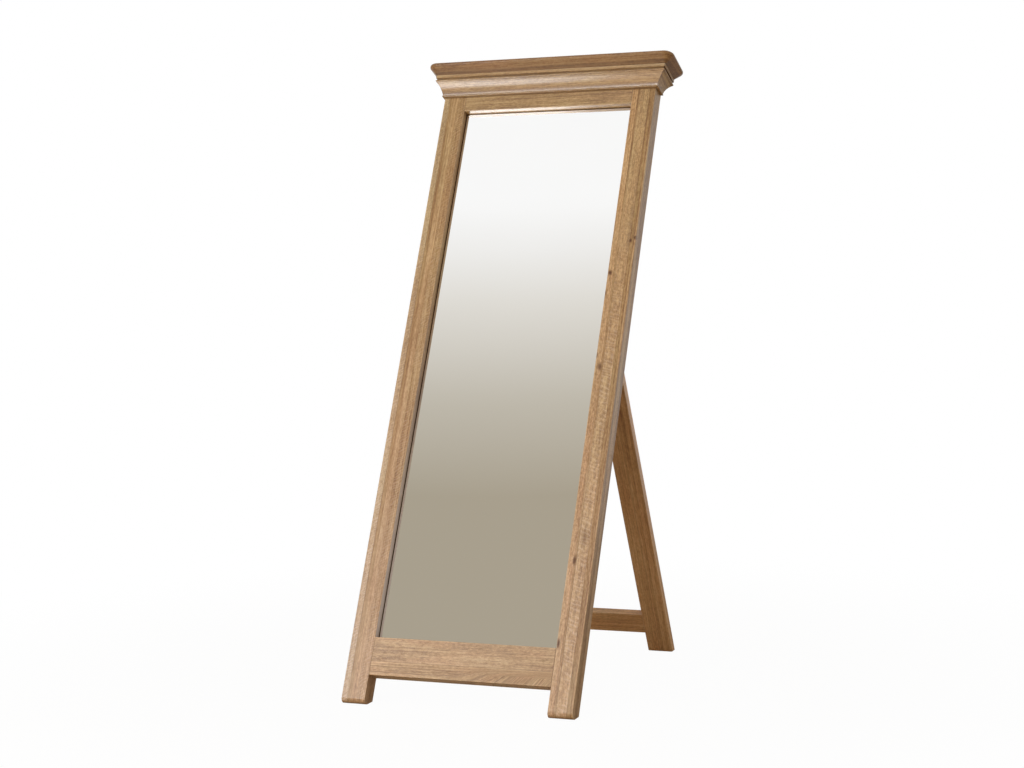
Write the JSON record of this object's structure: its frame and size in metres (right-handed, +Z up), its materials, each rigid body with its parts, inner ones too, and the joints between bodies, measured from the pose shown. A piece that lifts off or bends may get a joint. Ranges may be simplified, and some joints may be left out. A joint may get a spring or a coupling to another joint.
{
  "type": "cheval mirror",
  "caption": "Tall mirror in a wooden frame that leans back on its feet, with a moulded cornice and a hinged rear stand that folds flat.",
  "frame": {"origin": "middle of the mirror's box at floor level, in the open standing pose", "axes": "+Z up, +X to the right seen from the front, the glass faces -Y and the rear stand is on the +Y side"},
  "size_m": [0.707, 0.8508, 1.6384],
  "materials": {
    "oak_frame": "waxed, straight grain with ray fleck",
    "oak_cornice": "waxed, straight grain",
    "oak_stand": "waxed, straight grain",
    "oak_bead": "waxed",
    "backing": "plain board",
    "mirror": "silvered",
    "brass": "aged satin",
    "steel": "plain"
  },
  "bodies": {
    "mirror_frame": {"left_stile": "oak_frame", "right_stile": "oak_frame", "top_rail": "oak_frame", "bottom_rail": "oak_frame", "crown_front": "oak_cornice", "crown_left": "oak_cornice", "crown_right": "oak_cornice", "crown_back": "oak_cornice", "cornice_cap": "oak_cornice", "cap_tongue": "oak_cornice", "mirror_glass": "mirror", "back_panel": "backing", "bead_left": "oak_bead", "bead_right": "oak_bead", "bead_top": "oak_bead", "bead_bottom": "oak_bead", "bead_pins": "steel", "left_hinge_frame_leaf": "brass", "right_hinge_frame_leaf": "brass", "left_hinge_pin": "brass", "right_hinge_pin": "brass", "hinge_frame_screws": "brass"},
    "rear_stand": {"left_leg": "oak_stand", "right_leg": "oak_stand", "lower_cross_rail": "oak_stand", "upper_cross_rail": "oak_stand", "left_hinge_leg_leaf": "brass", "right_hinge_leg_leaf": "brass", "hinge_leg_screws": "brass"}
  },
  "joints": [
    {"name": "stand_fold", "type": "hinge", "parent": "mirror_frame", "child": "rear_stand", "pos_m": [0, -0.00328, 0.78945], "axis": [-1, 0, 0], "range_deg": [0, 52.7]}
  ]
}
